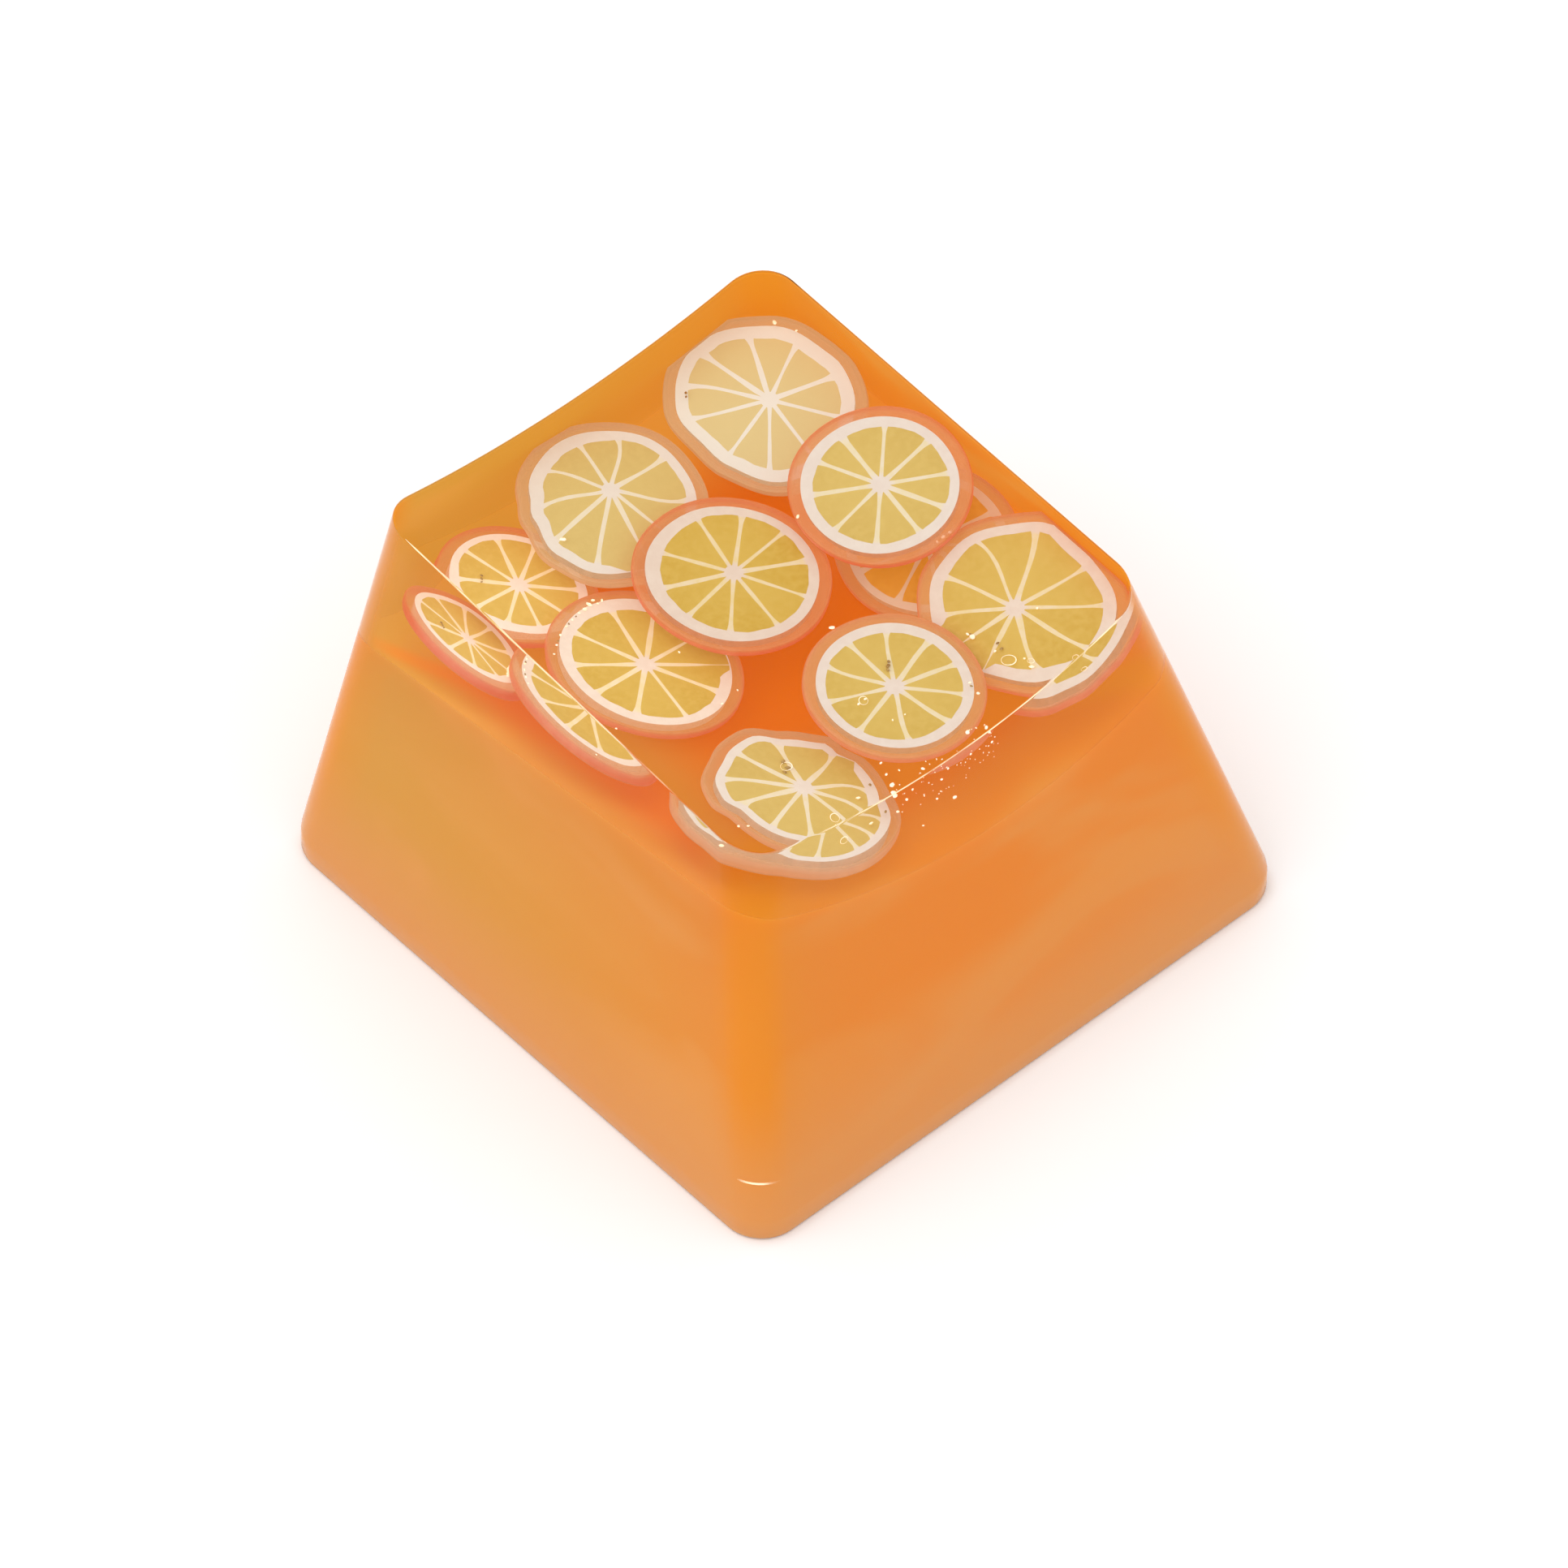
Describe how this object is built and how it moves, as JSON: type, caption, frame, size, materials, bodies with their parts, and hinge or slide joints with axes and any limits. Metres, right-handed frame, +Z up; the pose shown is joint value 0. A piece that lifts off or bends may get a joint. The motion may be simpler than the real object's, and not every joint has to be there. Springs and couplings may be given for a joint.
{
  "type": "artisan keycap",
  "caption": "Square tapered keycap with a dished top, cast in clear and cloudy orange resin round citrus slices, with a hollow underside and a cross-socket post.",
  "frame": {"origin": "middle of the rim's underside", "axes": "+Z up out of the dished top, +Y to the back of the keyboard (the taller side), +X to the right"},
  "size_m": [0.0182, 0.0182, 0.0115],
  "materials": {
    "cloudy_resin": "polished milky orange resin with pale swirls",
    "clear_resin": "polished clear orange resin",
    "rind_clay": "baked translucent orange clay",
    "pith_clay": "baked pale cream clay",
    "flesh_clay": "baked yellow clay"
  },
  "bodies": {
    "root": {"cloudy_body": "cloudy_resin", "clear_top": "clear_resin", "slice_01_rind": "rind_clay", "slice_01_pith": "pith_clay", "slice_01_flesh": "flesh_clay", "slice_02_rind": "rind_clay", "slice_02_pith": "pith_clay", "slice_02_flesh": "flesh_clay", "slice_03_rind": "rind_clay", "slice_03_pith": "pith_clay", "slice_03_flesh": "flesh_clay", "slice_04_rind": "rind_clay", "slice_04_pith": "pith_clay", "slice_04_flesh": "flesh_clay", "slice_05_rind": "rind_clay", "slice_05_pith": "pith_clay", "slice_05_flesh": "flesh_clay", "slice_06_rind": "rind_clay", "slice_06_pith": "pith_clay", "slice_06_flesh": "flesh_clay", "slice_07_rind": "rind_clay", "slice_07_pith": "pith_clay", "slice_07_flesh": "flesh_clay", "slice_08_rind": "rind_clay", "slice_08_pith": "pith_clay", "slice_08_flesh": "flesh_clay", "slice_09_rind": "rind_clay", "slice_09_pith": "pith_clay", "slice_09_flesh": "flesh_clay", "slice_10_rind": "rind_clay", "slice_10_pith": "pith_clay", "slice_10_flesh": "flesh_clay"}
  },
  "joints": []
}
